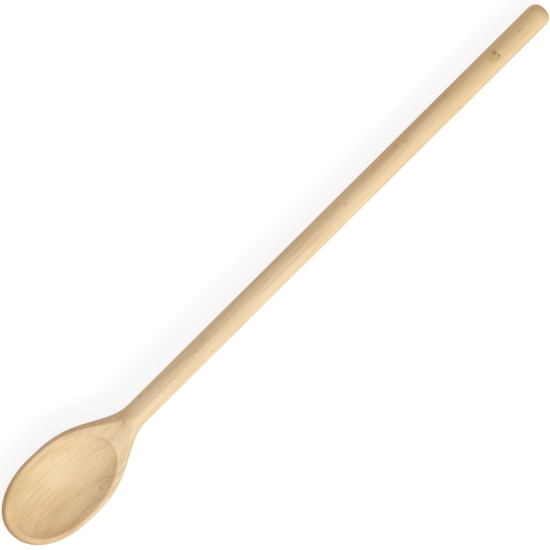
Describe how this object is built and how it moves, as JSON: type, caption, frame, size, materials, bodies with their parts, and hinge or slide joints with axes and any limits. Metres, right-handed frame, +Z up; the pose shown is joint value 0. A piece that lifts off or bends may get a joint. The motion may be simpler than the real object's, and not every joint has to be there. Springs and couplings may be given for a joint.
{
  "type": "wooden spoon",
  "caption": "Long wooden cooking spoon in one piece: an oval bowl with a planed rim and a scooped hollow, running into a straight round handle with a domed end.",
  "frame": {"origin": "on the surface that the spoon lies on, under the middle of its box: the bowl's back and the handle's far end both touch that surface", "axes": "+X along the handle from the bowl to the free end, +Z up out of the hollow, +Y to the left when looking from the bowl along the handle"},
  "size_m": [0.6, 0.0714, 0.0261],
  "materials": {
    "beech_wood": "pale beech, sanded smooth and left unvarnished, with fine grain along the handle"
  },
  "bodies": {
    "root": {"spoon": "beech_wood"}
  },
  "joints": []
}
